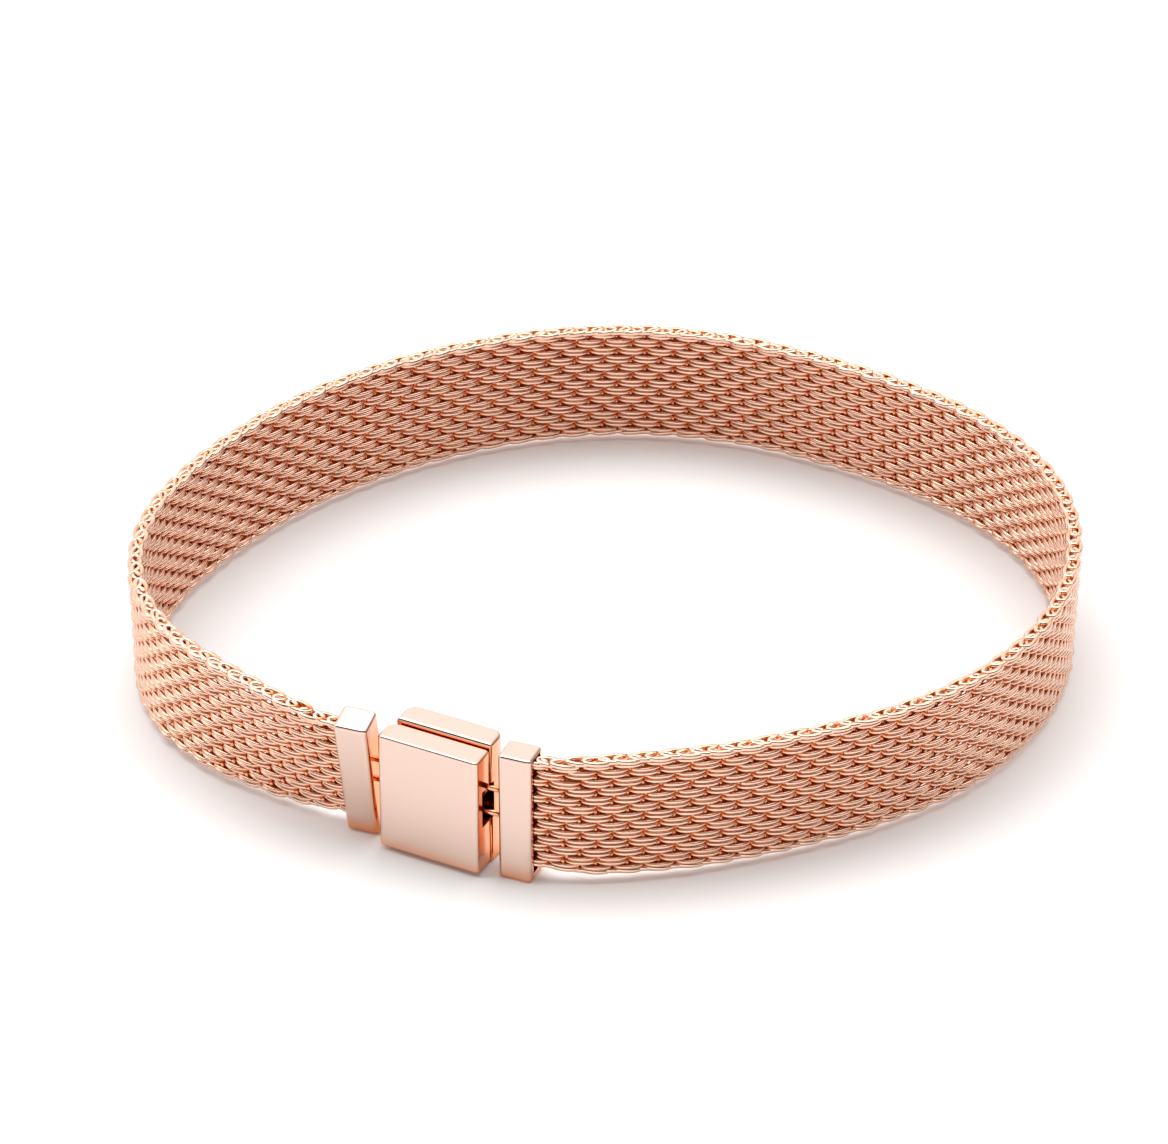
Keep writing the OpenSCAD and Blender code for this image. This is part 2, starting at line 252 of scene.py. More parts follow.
def leanAt(s):
    # degrees that the band's top leans outwards
    p = onBand(s)
    left, right = hold(bandLength - s, band["leanFade"]), hold(s, band["leanFade"])
    wave = math.cos(2 * (math.atan2(p[1], p[0]) - math.radians(band["swayAngle"])))
    return cap["lean"] * left + band["sway"] * wave * (1 - left) * (1 - right)


def bandMiddle(s):
    # height of the band's middle: it stands on the floor at the back, and the caps lift its ends
    lean = math.radians(leanAt(s))
    left, right = hold(bandLength - s, band["leanFade"]), hold(s, band["leanFade"])
    stand = band["width"] / 2 * math.cos(lean) + (halfThick - band["rimRound"]) * abs(math.sin(lean))
    lift = (cap["over"] + cap["gap"] - band["rimTuck"]) * (backY - onBand(s)[1]) / (backY - frontY)
    leftMiddle = leftZ + bandY * math.sin(math.radians(cap["lean"]))
    return (stand + lift) * (1 - left) + leftMiddle * left + cap["rise"] * right


# Small helpers for node trees

def addNode(tree, kind, **settings):
    n = tree.nodes.new(kind)
    for name, value in settings.items():
        setattr(n, name, value)
    return n


def feed(tree, socket, value):
    if isinstance(value, bpy.types.NodeSocket):
        tree.links.new(value, socket)
    else:
        socket.default_value = value


def calc(tree, operation, *values):
    n = addNode(tree, "ShaderNodeMath", operation=operation)
    for socket, value in zip(n.inputs, values):
        feed(tree, socket, value)
    return n.outputs[0]


def vectorCalc(tree, operation, *values):
    n = addNode(tree, "ShaderNodeVectorMath", operation=operation)
    for socket, value in zip(n.inputs, values):
        feed(tree, socket, value)
    return n.outputs[0]


def combine(tree, x, y, z):
    n = addNode(tree, "ShaderNodeCombineXYZ")
    for socket, value in zip(n.inputs, (x, y, z)):
        feed(tree, socket, value)
    return n.outputs[0]


def newTree(name, sockets, sizes):
    # sockets are given with their kind, and sizes are plain numbers
    tree = bpy.data.node_groups.new(name, "GeometryNodeTree")
    for label, kind in [*sockets, *((size, "Float") for size in sizes)]:
        tree.interface.new_socket(label, in_out="INPUT", socket_type="NodeSocket" + kind)
    tree.interface.new_socket("Geometry", in_out="OUTPUT", socket_type="NodeSocketGeometry")
    return tree, addNode(tree, "NodeGroupInput"), addNode(tree, "NodeGroupOutput")


def linkTo(obj):
    bpy.context.scene.collection.objects.link(obj)
    return obj


def meshObject(name, vertices, faces):
    mesh = bpy.data.meshes.new(name)
    mesh.from_pydata([tuple(v) for v in vertices], [], faces)
    mesh.update()
    return linkTo(bpy.data.objects.new(name, mesh))


# Materials

metalLook = {
    "cloudScale": 420.0,  # slow changes of tint and roughness over a piece
    "cloudDetail": 3.0,
    "cloudRange": (0.3, 0.7),  # the noise between these gives the whole range of roughness
    "cloudTint": 0.25,  # how far it mixes in the deep colour
    "grainDetail": 4.0,
    "grainDepth": 0.02,
    # painted shade: where metal faces metal close by, this deeper colour is painted in, standing in for
    # light that goes to and fro between them
    "paintedBounceColour": (0.84, 0.32, 0.11),
    "nearDistance": 1.6,
    "nearSamples": 8,
}

wireLook = {
    "colour": (0.91, 0.60, 0.46),
    "toneAndShadeColour": (0.76, 0.28, 0.10),
    "shadeInHollows": True,  # painted shade: the deep colour is painted into the hollows of the weave
    "roughness": (0.14, 0.24),
    "grainScale": 9000.0,
    "bump": 0.15,
    "bounceShade": 0.3,  # how strongly the painted shade from metal close by changes the colour
}

plateLook = {
    "colour": (0.785, 0.59, 0.50),
    "toneAndShadeColour": (0.755, 0.55, 0.46),
    "shadeInHollows": False,
    "roughness": (0.09, 0.14),
    "grainScale": 16000.0,
    "bump": 0.08,
    "bounceShade": 1.6,
}

pinLook = {
    "colour": (0.78, 0.54, 0.42),
    "toneAndShadeColour": (0.72, 0.47, 0.35),
    "shadeInHollows": False,
    "roughness": (0.2, 0.3),
    "grainScale": 16000.0,
    "bump": 0.08,
    "bounceShade": 1.0,
}


def noise(tree, scale, detail):
    place = addNode(tree, "ShaderNodeTexCoord")
    cloud = addNode(tree, "ShaderNodeTexNoise")
    cloud.inputs["Scale"].default_value = scale
    cloud.inputs["Detail"].default_value = detail
    tree.links.new(place.outputs["Object"], cloud.inputs["Vector"])
    return cloud.outputs["Fac"]


def mixColours(tree, share, first, second):
    mix = addNode(tree, "ShaderNodeMix", data_type="RGBA")
    feed(tree, mix.inputs["Factor"], share)
    feed(tree, mix.inputs["A"], first)
    feed(tree, mix.inputs["B"], second)
    return mix.outputs["Result"]


def metal(name, look):
    material = bpy.data.materials.new(name)
    material.use_nodes = True
    tree = material.node_tree
    shader = tree.nodes["Principled BSDF"]
    shader.inputs["Metallic"].default_value = 1.0
    cloud = noise(tree, metalLook["cloudScale"], metalLook["cloudDetail"])
    grain = noise(tree, look["grainScale"], metalLook["grainDetail"])
    # on the wires the deep colour is painted shade in the weave's hollows; on the plates and the pin it is a
    # slow random change of tone
    if look["shadeInHollows"]:
        share = addNode(tree, "ShaderNodeAttribute", attribute_name="hollowShade").outputs["Fac"]
    else:
        share = calc(tree, "MULTIPLY", cloud, metalLook["cloudTint"])
    tint = mixColours(tree, share, (*look["colour"], 1), (*look["toneAndShadeColour"], 1))
    # painted shade: where the ambient occlusion finds metal close by, the deeper colour is mixed into the
    # base colour
    near = addNode(tree, "ShaderNodeAmbientOcclusion", samples=metalLook["nearSamples"])
    near.inputs["Distance"].default_value = metalLook["nearDistance"] * mm
    bounceShare = calc(tree, "MULTIPLY", calc(tree, "SUBTRACT", 1.0, near.outputs["AO"]), look["bounceShade"])
    shadedTint = mixColours(tree, bounceShare, tint, (*metalLook["paintedBounceColour"], 1))
    tree.links.new(shadedTint, shader.inputs["Base Color"])
    rough = addNode(tree, "ShaderNodeMapRange")
    for label, value in zip(("From Min", "From Max"), metalLook["cloudRange"]):
        rough.inputs[label].default_value = value
    for label, value in zip(("To Min", "To Max"), look["roughness"]):
        rough.inputs[label].default_value = value
    tree.links.new(cloud, rough.inputs["Value"])
    tree.links.new(rough.outputs["Result"], shader.inputs["Roughness"])
    relief = addNode(tree, "ShaderNodeBump")
    relief.inputs["Strength"].default_value = look["bump"]
    relief.inputs["Distance"].default_value = metalLook["grainDepth"] * mm
    tree.links.new(grain, relief.inputs["Height"])
    tree.links.new(relief.outputs["Normal"], shader.inputs["Normal"])
    return material


wireMetal = metal("rose_wire", wireLook)
plateMetal = metal("rose_polish", plateLook)
pinMetal = metal("rose_pin", pinLook)


# The woven band: flattened spirals of double wire, each hooked into the next

weave = {
    "pitch": 1.06,  # from one spiral to the next
    "turn": 1.42,  # height of one turn
    "wire": 0.32,
    "spread": 0.325,  # from one wire of a pair to the other
    "reach": 1.0,  # half the width of a spiral, along the band
    "depth": 0.43,  # half its depth, to the middle of the wire
    "bow": 1.0,  # 1 bends the bars as an ellipse, less makes them flatter
    "level": 0.4,  # share of a half turn over which a bar stays level, at each end
    "slope": 0.1,  # share of the fall that is even along the wire
    "rows": 6,  # whole turns from rim to rim
    "over": 0.45,  # how far a wire runs past its last bar, in half turns
    "rimRise": 0.1,  # how far past the last bar's middle a wire may reach
    "rimSoft": 0.1,  # how softly it bends to that height
    "rise": 0.2,  # how far the rows sit above the band's middle
    "endGap": 0.02,  # from the first and last spiral to the band's ends
    "hollow": (0.9, 0.25),  # the painted shade of the hollows begins and is full at these shares of the depth
    # the spirals' ends, closed to flat rings that hook into each other along both rims
    "ring": 0.92,  # half its length, along the band
    "ringDepth": 0.38,  # half its depth
    "ringWire": 0.38,
    "ringSide": 0.07,  # every other ring lies this far outwards, the rest inwards
    "ringTilt": 4.0,  # in degrees
    "ringDrop": 0.05,  # how far a ring sits below the outer wire of the last bar
    "ringSegments": 16,
    "segments": 24,  # points in a turn
    "sides": 6,
    "strips": 4,
    "wobble": (0.012, 0.006, 0.012),  # most that a spiral is turned at random, in radians
    "seed": 7,
}

spiralSizes = ["Turn", "Reach", "Depth", "Bow", "Level", "Slope", "Wire", "Spread", "Rim Soft"]
ringSizes = ["Ring", "Ring Depth", "Ring Wire"]


def spiralLine(tree, g):
    # the line midway between the two wires, and the way out of the band along it
    line = addNode(tree, "GeometryNodeMeshLine")
    feed(tree, line.inputs["Count"], g["Points"])
    curve = addNode(tree, "GeometryNodeMeshToCurve")
    feed(tree, curve.inputs["Mesh"], line.outputs[0])
    index = addNode(tree, "GeometryNodeInputIndex").outputs[0]
    last = calc(tree, "SUBTRACT", g["Points"], 1)
    share = calc(tree, "DIVIDE", index, last)
    span = calc(tree, "SUBTRACT", g["End"], g["Start"])
    even = calc(tree, "MULTIPLY_ADD", share, span, g["Start"])
    wave = calc(tree, "SINE", calc(tree, "MULTIPLY", even, 2 * math.pi))
    halfTurns = calc(tree, "MULTIPLY_ADD", wave, 0.5 / (2 * math.pi), even)  # more points in the bends
    angle = calc(tree, "MULTIPLY", halfTurns, math.pi)
    sine, cosine = calc(tree, "SINE", angle), calc(tree, "COSINE", angle)
    x = calc(tree, "MULTIPLY", sine, g["Reach"])
    bowed = calc(tree, "POWER", calc(tree, "ABSOLUTE", cosine), g["Bow"])
    side = calc(tree, "SIGN", cosine)
    y = calc(tree, "MULTIPLY", calc(tree, "MULTIPLY", bowed, side), calc(tree, "MULTIPLY", g["Depth"], -1.0))
    # level along the bars, steep at the bends
    whole = calc(tree, "FLOOR", halfTurns)
    part = calc(tree, "FRACT", halfTurns)
    step = addNode(tree, "ShaderNodeMapRange", interpolation_type="SMOOTHSTEP")
    feed(tree, step.inputs["Value"], part)
    feed(tree, step.inputs["From Min"], g["Level"])
    feed(tree, step.inputs["From Max"], calc(tree, "SUBTRACT", 1.0, g["Level"]))
    stair = calc(tree, "ADD", whole, step.outputs["Result"])
    steady = calc(tree, "SUBTRACT", 1.0, g["Slope"])
    mixed = calc(tree, "MULTIPLY_ADD", stair, steady, calc(tree, "MULTIPLY", halfTurns, g["Slope"]))
    fall = calc(tree, "MULTIPLY", mixed, calc(tree, "MULTIPLY", g["Turn"], 0.5))
    z = calc(tree, "SUBTRACT", g["Top"], fall)
    z = calc(tree, "SMOOTH_MIN", z, g["Highest"], g["Rim Soft"])
    z = calc(tree, "SMOOTH_MAX", z, g["Lowest"], g["Rim Soft"])
    shaped = addNode(tree, "GeometryNodeSetPosition")
    feed(tree, shaped.inputs["Geometry"], curve.outputs[0])
    feed(tree, shaped.inputs["Position"], combine(tree, x, y, z))
    outX = calc(tree, "DIVIDE", sine, g["Reach"])
    outY = calc(tree, "DIVIDE", calc(tree, "MULTIPLY", cosine, -1.0), g["Depth"])
    return shaped.outputs[0], vectorCalc(tree, "NORMALIZE", combine(tree, outX, outY, 0.0))


def doubleWire(tree, g, line, outward):
    # the two wires lie side by side on the flattened tube
    keep = addNode(tree, "GeometryNodeCaptureAttribute")
    keep.capture_items.new("VECTOR", "outward")
    feed(tree, keep.inputs["Geometry"], line)
    feed(tree, keep.inputs["outward"], outward)
    tangent = addNode(tree, "GeometryNodeInputTangent").outputs[0]
    across = vectorCalc(tree, "CROSS_PRODUCT", keep.outputs["outward"], tangent)
    across = vectorCalc(tree, "NORMALIZE", across)
    profile = addNode(tree, "GeometryNodeCurvePrimitiveCircle")
    feed(tree, profile.inputs["Resolution"], g["Sides"])
    feed(tree, profile.inputs["Radius"], calc(tree, "MULTIPLY", g["Wire"], 0.5))
    both = addNode(tree, "GeometryNodeJoinGeometry")
    for way in (0.5, -0.5):
        shift = addNode(tree, "ShaderNodeVectorMath", operation="SCALE")
        feed(tree, shift.inputs[0], across)
        feed(tree, shift.inputs["Scale"], calc(tree, "MULTIPLY", g["Spread"], way))
        moved = addNode(tree, "GeometryNodeSetPosition")
        feed(tree, moved.inputs["Geometry"], keep.outputs["Geometry"])
        feed(tree, moved.inputs["Offset"], shift.outputs[0])
        wire = addNode(tree, "GeometryNodeCurveToMesh")
        feed(tree, wire.inputs["Curve"], moved.outputs[0])
        feed(tree, wire.inputs["Profile Curve"], profile.outputs[0])
        feed(tree, wire.inputs["Fill Caps"], True)
        feed(tree, both.inputs[0], wire.outputs[0])
    return both.outputs[0]


def paintHollowShade(tree, g, wires):
    # how far under the band's surface a point lies, for the painted shade of the hollows
    place = addNode(tree, "GeometryNodeInputPosition").outputs[0]
    parts = addNode(tree, "ShaderNodeSeparateXYZ")
    feed(tree, parts.inputs[0], place)
    skin = calc(tree, "MULTIPLY_ADD", g["Wire"], 0.5, g["Depth"])
    level = calc(tree, "DIVIDE", calc(tree, "ABSOLUTE", parts.outputs[1]), skin)
    hollowShade = addNode(tree, "ShaderNodeMapRange", interpolation_type="SMOOTHSTEP")
    feed(tree, hollowShade.inputs["Value"], level)
    feed(tree, hollowShade.inputs["From Min"], weave["hollow"][0])
    feed(tree, hollowShade.inputs["From Max"], weave["hollow"][1])
    stored = addNode(tree, "GeometryNodeStoreNamedAttribute", data_type="FLOAT", domain="POINT")
    feed(tree, stored.inputs["Geometry"], wires)
    feed(tree, stored.inputs["Name"], "hollowShade")
    feed(tree, stored.inputs["Value"], hollowShade.outputs["Result"])
    return stored.outputs[0]


def spiralTree():
    tree, given, result = newTree("flatSpiral", [("Points", "Int"), ("Sides", "Int")], [
        *spiralSizes, "Start", "End", "Top", "Highest", "Lowest",
    ])
    line, outward = spiralLine(tree, given.outputs)
    wires = doubleWire(tree, given.outputs, line, outward)
    feed(tree, result.inputs[0], paintHollowShade(tree, given.outputs, wires))
    return tree


def rimTree():
    tree, given, result = newTree("rimRing", [("Sides", "Int")], ringSizes)
    g = given.outputs
    circle = addNode(tree, "GeometryNodeCurvePrimitiveCircle")
    circle.inputs["Resolution"].default_value = weave["ringSegments"]
    circle.inputs["Radius"].default_value = 1.0
    shaped = addNode(tree, "GeometryNodeSetPosition")
    place = addNode(tree, "GeometryNodeInputPosition").outputs[0]
    feed(tree, shaped.inputs["Geometry"], circle.outputs[0])
    flat = vectorCalc(tree, "MULTIPLY", place, combine(tree, g["Ring"], g["Ring Depth"], 0.0))
    feed(tree, shaped.inputs["Position"], flat)
    profile = addNode(tree, "GeometryNodeCurvePrimitiveCircle")
    feed(tree, profile.inputs["Resolution"], g["Sides"])
    feed(tree, profile.inputs["Radius"], calc(tree, "MULTIPLY", g["Ring Wire"], 0.5))
    wire = addNode(tree, "GeometryNodeCurveToMesh")
    feed(tree, wire.inputs["Curve"], shaped.outputs[0])
    feed(tree, wire.inputs["Profile Curve"], profile.outputs[0])
    feed(tree, result.inputs[0], wire.outputs[0])
    return tree


def readNumber(tree, name):
    stored = addNode(tree, "GeometryNodeInputNamedAttribute", data_type="FLOAT")
    stored.inputs["Name"].default_value = name
    return stored.outputs[0]


def bandPoints(tree, g):
    # a point on the band's line for each spiral, and how the band is turned there
    curve = addNode(tree, "GeometryNodeMeshToCurve")
    feed(tree, curve.inputs["Mesh"], g["Geometry"])
    tangent = addNode(tree, "GeometryNodeInputTangent").outputs[0]
    keep = addNode(tree, "GeometryNodeCaptureAttribute")
    keep.capture_items.new("VECTOR", "way")
    feed(tree, keep.inputs["Geometry"], curve.outputs[0])
    feed(tree, keep.inputs["way"], tangent)
    points = addNode(tree, "GeometryNodeCurveToPoints", mode="EVALUATED")
    feed(tree, points.inputs["Curve"], keep.outputs["Geometry"])
    way = addNode(tree, "ShaderNodeSeparateXYZ")
    feed(tree, way.inputs[0], keep.outputs["way"])
    yaw = calc(tree, "ARCTAN2", way.outputs[1], way.outputs[0])
    return points.outputs[0], combine(tree, readNumber(tree, "lean"), 0.0, yaw)


def inStrip(tree, g, odd):
    # every other spiral of this strip
    index = addNode(tree, "GeometryNodeInputIndex").outputs[0]
    after = calc(tree, "GREATER_THAN", index, calc(tree, "SUBTRACT", g["First"], 0.5))
    end = calc(tree, "ADD", g["First"], g["Spirals"])
    before = calc(tree, "LESS_THAN", index, calc(tree, "SUBTRACT", end, 0.5))
    parity = calc(tree, "MODULO", index, 2.0)
    chosen = parity if odd else calc(tree, "SUBTRACT", 1.0, parity)
    return calc(tree, "MULTIPLY", calc(tree, "MULTIPLY", after, before), chosen)


def wholeSpiral(tree, g, spiral, rimRing, odd):
    # a spiral and its two rings; an odd one starts half a turn lower, so both its ends lie inside
    over = weave["over"] + odd
    top = calc(tree, "MULTIPLY", calc(tree, "MULTIPLY", g["Turn"], g["Rows"]), 0.5)
    rim = calc(tree, "ADD", top, g["Rim Rise"])
    bars = calc(tree, "SUBTRACT", g["Rows"], float(odd))
    lastBar = calc(tree, "MULTIPLY", bars, 2.0)
    firstBar = calc(tree, "MULTIPLY_ADD", g["Turn"], -0.5 * odd, top)
    one = addNode(tree, "GeometryNodeGroup", node_tree=spiral)
    for label in (*spiralSizes, "Sides"):
        feed(tree, one.inputs[label], g[label])
    for label, value in (
        ("Start", -over), ("End", calc(tree, "ADD", lastBar, over)),
        ("Points", calc(tree, "MULTIPLY_ADD", calc(tree, "ADD", bars, over), g["Segments"], 1.0)),
        ("Top", calc(tree, "ADD", firstBar, g["Rise"])),
        ("Highest", calc(tree, "ADD", g["Rise"], rim)), ("Lowest", calc(tree, "SUBTRACT", g["Rise"], rim)),
    ):
        feed(tree, one.inputs[label], value)
    whole = addNode(tree, "GeometryNodeJoinGeometry")
    feed(tree, whole.inputs[0], one.outputs[0])
    outerWire = calc(tree, "MULTIPLY_ADD", g["Spread"], 0.5, top)
    ringRise = calc(tree, "SUBTRACT", outerWire, g["Ring Drop"])
    side = calc(tree, "MULTIPLY", g["Ring Side"], 1.0 if odd else -1.0)
    for up in (1.0, -1.0):
        height = calc(tree, "MULTIPLY_ADD", ringRise, up, g["Rise"])
        moved = addNode(tree, "GeometryNodeTransform")
        feed(tree, moved.inputs["Geometry"], rimRing)
        feed(tree, moved.inputs["Translation"], combine(tree, 0.0, side, height))
        feed(tree, moved.inputs["Rotation"], combine(tree, 0.0, g["Ring Tilt"], 0.0))
        feed(tree, whole.inputs[0], moved.outputs[0])
    return whole.outputs[0]


def weaveTree(spiral, ring):
    tree, given, result = newTree("wovenBand", [
        ("Geometry", "Geometry"), ("First", "Int"), ("Spirals", "Int"), ("Rows", "Int"),
        ("Segments", "Int"), ("Sides", "Int"), ("Seed", "Int"), ("Material", "Material"),
    ], [*spiralSizes, *ringSizes, "Rim Rise", "Rise", "Ring Side", "Ring Tilt", "Ring Drop"])
    g = given.outputs
    rimRing = addNode(tree, "GeometryNodeGroup", node_tree=ring)
    for label in (*ringSizes, "Sides"):
        feed(tree, rimRing.inputs[label], g[label])
    points, facing = bandPoints(tree, g)
    squeezed = combine(tree, 1.0, 1.0, readNumber(tree, "squeeze"))
    both = addNode(tree, "GeometryNodeJoinGeometry")
    for odd in (0, 1):
        wobble = addNode(tree, "FunctionNodeRandomValue", data_type="FLOAT_VECTOR")
        wobble.inputs["Min"].default_value = [-most for most in weave["wobble"]]
        wobble.inputs["Max"].default_value = weave["wobble"]
        feed(tree, wobble.inputs["Seed"], g["Seed"])
        placed = addNode(tree, "GeometryNodeInstanceOnPoints")
        feed(tree, placed.inputs["Points"], points)
        feed(tree, placed.inputs["Selection"], inStrip(tree, g, odd))
        feed(tree, placed.inputs["Instance"], wholeSpiral(tree, g, spiral, rimRing.outputs[0], odd))
        feed(tree, placed.inputs["Rotation"], vectorCalc(tree, "ADD", facing, wobble.outputs[0]))
        feed(tree, placed.inputs["Scale"], squeezed)
        feed(tree, both.inputs[0], placed.outputs[0])
    real = addNode(tree, "GeometryNodeRealizeInstances")
    feed(tree, real.inputs[0], both.outputs[0])
    smooth = addNode(tree, "GeometryNodeSetShadeSmooth")
    feed(tree, smooth.inputs[0], real.outputs[0])
    painted = addNode(tree, "GeometryNodeSetMaterial")
    feed(tree, painted.inputs["Geometry"], smooth.outputs[0])
    feed(tree, painted.inputs["Material"], g["Material"])
    feed(tree, result.inputs[0], painted.outputs[0])
    return tree


def grow(name, line, tree, values):
    # a plain mesh from the tree's result, without a live modifier
    carrier = linkTo(bpy.data.objects.new(name + "_line", line))
    modifier = carrier.modifiers.new("grow", "NODES")
    modifier.node_group = tree
    for item in tree.interface.items_tree:
        if item.item_type == "SOCKET" and item.in_out == "INPUT" and item.name in values:
            modifier[item.identifier] = values[item.name]
    bpy.context.view_layer.update()
    ready = carrier.evaluated_get(bpy.context.evaluated_depsgraph_get())
    mesh = bpy.data.meshes.new_from_object(ready)
    carrier.modifiers.remove(modifier)
    bpy.data.objects.remove(carrier)
    mesh.name = name
    return linkTo(bpy.data.objects.new(name, mesh))


def weaveBand():
    edge = weave["reach"] + weave["wire"] / 2 + weave["endGap"]  # to the middle of the first spiral
    count = int((bandLength - 2 * edge) / weave["pitch"]) + 1
    pitch = (bandLength - 2 * edge) / (count - 1)
    places, leans, squeezes = [], [], []
    for k in range(count):
        s = edge + k * pitch
        p = onBand(s) - centre
        places.append((p[0] * mm, p[1] * mm, bandMiddle(s) * mm))
        leans.append(math.radians(leanAt(s)))
        tuck = max(hold(s, band["tuckFade"]), hold(bandLength - s, band["tuckFade"]))
        squeezes.append(1 - tuck * 2 * band["rimTuck"] / band["width"])
    line = bpy.data.meshes.new("bandLine")
    line.from_pydata(places, [(i, i + 1) for i in range(count - 1)], [])
    for name, values in (("lean", leans), ("squeeze", squeezes)):
        line.attributes.new(name, "FLOAT", "POINT").data.foreach_set("value", values)
    tree = weaveTree(spiralTree(), rimTree())
    sizes = {
        "Turn": weave["turn"] * mm, "Reach": weave["reach"] * mm, "Depth": weave["depth"] * mm,
        "Wire": weave["wire"] * mm, "Spread": weave["spread"] * mm, "Bow": weave["bow"],
        "Level": weave["level"], "Slope": weave["slope"], "Rows": weave["rows"],
        "Rise": weave["rise"] * mm, "Rim Rise": weave["rimRise"] * mm, "Rim Soft": weave["rimSoft"] * mm,
        "Ring": weave["ring"] * mm, "Ring Depth": weave["ringDepth"] * mm,
        "Ring Wire": weave["ringWire"] * mm, "Ring Side": weave["ringSide"] * mm,
        "Ring Drop": weave["ringDrop"] * mm, "Ring Tilt": math.radians(weave["ringTilt"]),
        "Segments": weave["segments"], "Sides": weave["sides"], "Seed": weave["seed"],
        "Material": wireMetal,
    }
    pieces, first = [], 0
    for strip in range(weave["strips"]):
        end = round(count * (strip + 1) / weave["strips"])
        share = {"First": first, "Spirals": end - first, **sizes}
        pieces.append(grow("woven_strip_%d" % (strip + 1), line, tree, share))
        first = end
        print(pieces[-1].name, len(pieces[-1].data.polygons), "faces")
    print("weave:", count, "spirals, pitch", round(pitch, 4))
    return pieces


for piece in weaveBand():
    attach(piece, "bracelet")
    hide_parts("mesh_band")


# The clasp and the caps: soft-edged plates, cut and joined as in the CAD model

soft = {
    "cap": 0.26,  # rounding of a cap's top and bottom edges
    "capCorner": 0.32,  # and of its upright edges
    "base": 0.28,
    "baseFront": 0.16,
    "lid": 0.2,
    "lug": 0.08,
    "neckCorner": 0.02,
    "least": 0.01,  # radius left at a corner where the rounding takes up all of it
    "steps": 5,  # facets in a rounded edge
    "sides": 20,  # facets round a wire or a post
    "arcSteps": 24,  # facets round the end of a ring
    "skirt": 1.0,  # how far a cutter reaches out of the metal
    "root": 0.25,  # how far a post is set into the plate
}


def outlineAt(box, radii, inset):
    # a rectangle with four rounded corners, drawn in by the inset
    x0, x1, y0, y1 = box[:4]
    corners = [(x0, y0, 1, 1, 180), (x1, y0, -1, 1, 270), (x1, y1, -1, -1, 0), (x0, y1, 1, -1, 90)]
    points = []
    for (x, y, right, back, start), radius in zip(corners, radii):
        big = max(radius, inset + soft["least"])
        middle = np.array([x + right * big, y + back * big])
        for i in range(soft["steps"] + 1):
            points.append(middle + (big - inset) * ray(start + 90 * i / soft["steps"]))
    return points


def block(box, radii, edge):
    # an upright plate: outlines from the bottom to the top, drawn in towards both ends
    low, high = box[4:]
    steps = soft["steps"]
    turns = [math.pi / 2 * i / steps for i in range(steps + 1)]
    levels = [(low + edge * (1 - math.cos(t)), edge * (1 - math.sin(t))) for t in turns]
    levels += [(high - edge * (1 - math.cos(t)), edge * (1 - math.sin(t))) for t in reversed(turns)]
    vertices, faces, smooth = [], [], []
    for z, inset in levels:
        vertices += [(x, y, z) for x, y in outlineAt(box, radii, inset)]
    n = 4 * (steps + 1)
    for k in range(len(levels) - 1):
        for j in range(n):
            i = (j + 1) % n
            faces.append((k * n + j, k * n + i, (k + 1) * n + i, (k + 1) * n + j))
            smooth.append(k != steps or j % (steps + 1) != steps)  # the four large sides stay flat
    top = (len(levels) - 1) * n
    faces += [tuple(reversed(range(n))), tuple(range(top, top + n))]
    return vertices, faces, smooth + [False, False]


def rod(path, radius):
    # a closed wire along the points of a path in the plane of x and z, or a straight one along y
    sides = soft["sides"]
    vertices, faces = [], []
    for i, p in enumerate(path):
        way = Vector(path[min(i + 1, len(path) - 1)]) - Vector(path[max(i - 1, 0)])
        alongY = abs(way.y) > 0.9 * way.length
        side = Vector((1, 0, 0)) if alongY else Vector((0, 1, 0))
        u = way.cross(side).normalized()
        v = way.cross(u).normalized()
        for j in range(sides):
            turn = 2 * math.pi * j / sides
            vertices.append(tuple(Vector(p) + radius * (math.cos(turn) * u + math.sin(turn) * v)))
    for k in range(len(path) - 1):
        for j in range(sides):
            i = (j + 1) % sides
            faces.append((k * sides + j, k * sides + i, (k + 1) * sides + i, (k + 1) * sides + j))
    smooth = [True] * len(faces)
    last = (len(path) - 1) * sides
    faces += [tuple(reversed(range(sides))), tuple(range(last, last + sides))]
    return vertices, faces, smooth + [False, False]


def wireRing(halfHeight, tip, reach, direction):
    # a long ring round a post at x = 0, whose two legs run into the cap at the given reach
    steps = soft["arcSteps"]
    legEnd = reach + rings["solder"]
    path = [(legEnd, 0, halfHeight)]
    for i in range(steps + 1):
        turn = math.pi / 2 + math.pi * i / steps
        path.append((tip + halfHeight * math.cos(turn), 0, halfHeight * math.sin(turn)))
    path.append((legEnd, 0, -halfHeight))
    return rod([(direction * x, y, z) for x, y, z in path], rings["wire"] / 2)


def cutter(x0, x1, y0, y1, z0, z1):
    vertices = [(x, y, z) for z in (z0, z1) for x, y in ((x0, y0), (x1, y0), (x1, y1), (x0, y1))]
    faces = [(3, 2, 1, 0), (4, 5, 6, 7), (0, 1, 5, 4), (1, 2, 6, 5), (2, 3, 7, 6), (3, 0, 4, 7)]
    return vertices, faces, [False] * len(faces)


def build(name, part, place):
    vertices, faces, smooth = part
    obj = meshObject(name, [(place @ Vector(v)) * mm for v in vertices], faces)
    obj.data.polygons.foreach_set("use_smooth", smooth)
    shape = bmesh.new()
    shape.from_mesh(obj.data)
    bmesh.ops.recalc_face_normals(shape, faces=shape.faces)
    shape.to_mesh(obj.data)
    shape.free()
    return obj


